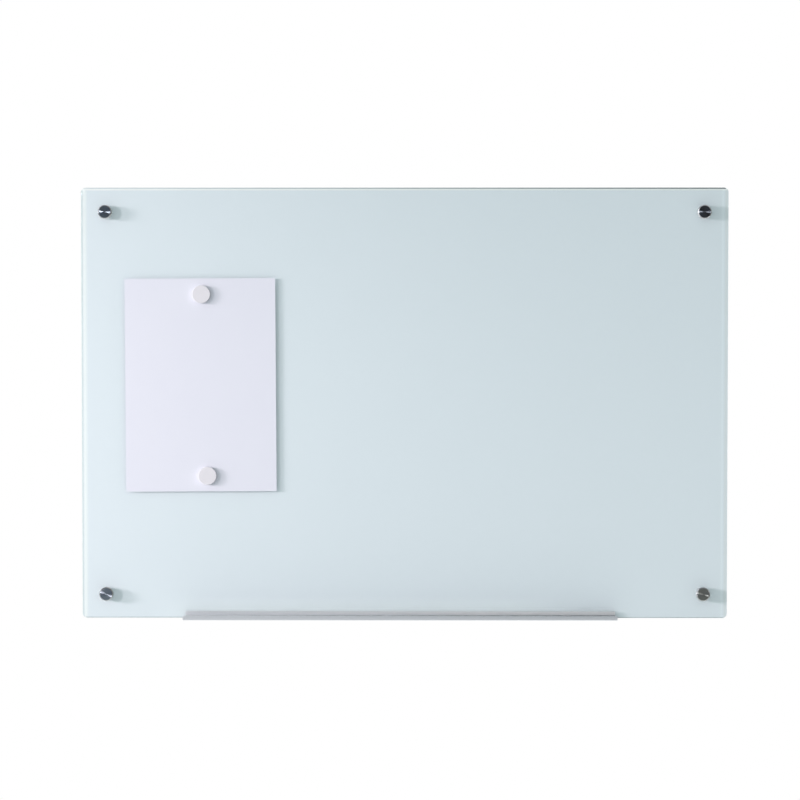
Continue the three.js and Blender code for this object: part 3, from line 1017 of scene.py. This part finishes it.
lamps = {
    "key": {"place": (-5.1, -4.45, 0.84), "aim": (-1.68, 0, 0.09), "size": (1.15, 0.85), "spread": 21.2,
            "power": 7.8, "color": (1.0, 0.9, 0.945)},
    "strip": {"place": (-4.87, -2.31, 0.62), "aim": (0.84, 0, -0.3), "size": (1.95, 0.85), "spread": 25,
              "power": 5.65, "color": (1.0, 0.9, 0.945), "glints": False},
    "glint": {"place": (-5.1, -4.45, 0.75), "aim": (0.5, 0, 0.3), "size": (0.5, 0.5), "spread": 14,
              "power": 4.5, "color": (0.92, 0.95, 1.0), "lights": False},
    "behind": {"place": (2.5, 4.5, 2.6), "aim": (0, 0, 0), "size": (3.0, 3.0), "spread": 180,
               "power": 150, "color": (1.0, 1.0, 1.0)},
}
for name, lamp in lamps.items():
    lampData = bpy.data.lights.new(name, "AREA")
    lampData.shape = "RECTANGLE"
    lampData.size, lampData.size_y = lamp["size"]
    lampData.spread = math.radians(lamp["spread"])
    lampData.energy = lamp["power"]
    lampData.color = lamp["color"]
    lampObject = bpy.data.objects.new(name, lampData)
    lampObject.location = lamp["place"]
    towards = Vector(lamp["aim"]) - Vector(lamp["place"])
    lampObject.rotation_euler = towards.to_track_quat("-Z", "Y").to_euler()
    lampObject.visible_camera = False
    lampObject.visible_diffuse = lamp.get("lights", True)
    lampObject.visible_glossy = lamp.get("glints", True)
    bpy.context.scene.collection.objects.link(lampObject)

surroundings = {
    # what polished pieces mirror, by direction;
    # each row is a colour, its axis, and where it starts and is full
    "room": (0.72, 0.74, 0.76),
    "parts": (
        ((0.52, 0.54, 0.55), "Y", 0.3, 0.9),  # behind the board
        ((0.34, 0.35, 0.36), "X", 0.2, 0.9),  # to the right
        ((0.30, 0.31, 0.32), "Z", 0.3, 0.8),  # above
        ((0.26, 0.27, 0.28), "Z", -0.02, -0.5),  # below
    ),
    # the dim side where the camera stands, its left colour first
    "frontHigh": ((0.058, 0.075, 0.112), (0.003, 0.0035, 0.004)),
    "frontLow": ((0.42, 0.46, 0.55), (0.20, 0.18, 0.13)),
    "frontReach": (-0.05, -0.28),
    "frontLowReach": (0.0, -0.25),
    "frontRightReach": (-0.3, 0.3),
    # light on matt pieces: even behind the glass, and in front of it more from the left than the right
    "ambient": (0.612, 0.676, 0.678),
    "ambientSides": ((1.102, 1.217, 1.220), (0.122, 0.135, 0.136)),
    "backdrop": (1.0, 1.0, 1.0),
}
world = bpy.data.worlds.new("studio")
bpy.context.scene.world = world
world.use_nodes = True
worldTree = world.node_tree
direction = addNode(worldTree, "SeparateXYZ", {0: addNode(worldTree, "TexCoord").outputs["Generated"]})
path = addNode(worldTree, "LightPath")


def shareOf(socket, start, full):
    return remap(worldTree, socket, start, full, 0.0, 1.0)


studioColor = surroundings["room"]
for color, axis, start, full in surroundings["parts"]:
    studioColor = mixColor(worldTree, shareOf(direction.outputs[axis], start, full), studioColor, color)
lowShare = shareOf(direction.outputs["Z"], *surroundings["frontLowReach"])
rightShare = shareOf(direction.outputs["X"], *surroundings["frontRightReach"])
frontHigh = mixColor(worldTree, rightShare, *surroundings["frontHigh"])
frontLow = mixColor(worldTree, rightShare, *surroundings["frontLow"])
frontColor = mixColor(worldTree, lowShare, frontHigh, frontLow)
frontShare = shareOf(direction.outputs["Y"], *surroundings["frontReach"])
studioColor = mixColor(worldTree, frontShare, studioColor, frontColor)
sideShare = shareOf(direction.outputs["X"], -1.0, 1.0)
sidedColor = mixColor(worldTree, sideShare, *surroundings["ambientSides"])
throughGlass = shareOf(path.outputs["Transparent Depth"], 0.0, 1.0)
ambientColor = mixColor(worldTree, throughGlass, sidedColor, surroundings["ambient"])
mirrored = addNode(worldTree, "Background", {"Color": studioColor})
ambient = addNode(worldTree, "Background", {"Color": ambientColor})
backdrop = addNode(worldTree, "Background", {"Color": surroundings["backdrop"]})
room = addNode(worldTree, "MixShader",
               {0: path.outputs["Is Diffuse Ray"], 1: mirrored.outputs[0], 2: ambient.outputs[0]})
shown = addNode(worldTree, "MixShader",
                {0: path.outputs["Is Camera Ray"], 1: room.outputs[0], 2: backdrop.outputs[0]})
worldTree.links.new(shown.outputs[0], worldTree.nodes["World Output"].inputs["Surface"])

floor = {
    "size": 5.0,
    "height": -1.5,
    "color": (0.86, 0.86, 0.86),
    "roughness": 0.8,
}
floorMesh = bmesh.new()
bmesh.ops.create_grid(floorMesh, x_segments=1, y_segments=1, size=floor["size"] / 2,
                      matrix=Matrix.Translation((0, 0, floor["height"])))
floorData = bpy.data.meshes.new("paleFloor")
floorMesh.to_mesh(floorData)
floorMesh.free()
floorData.materials.append(newFinish("paleFloor", Base_Color=floor["color"], Roughness=floor["roughness"])[0])
paleFloor = bpy.data.objects.new("paleFloor", floorData)
bpy.context.scene.collection.objects.link(paleFloor)

bpy.context.scene.view_settings.view_transform = "Standard"
print("Studio set")
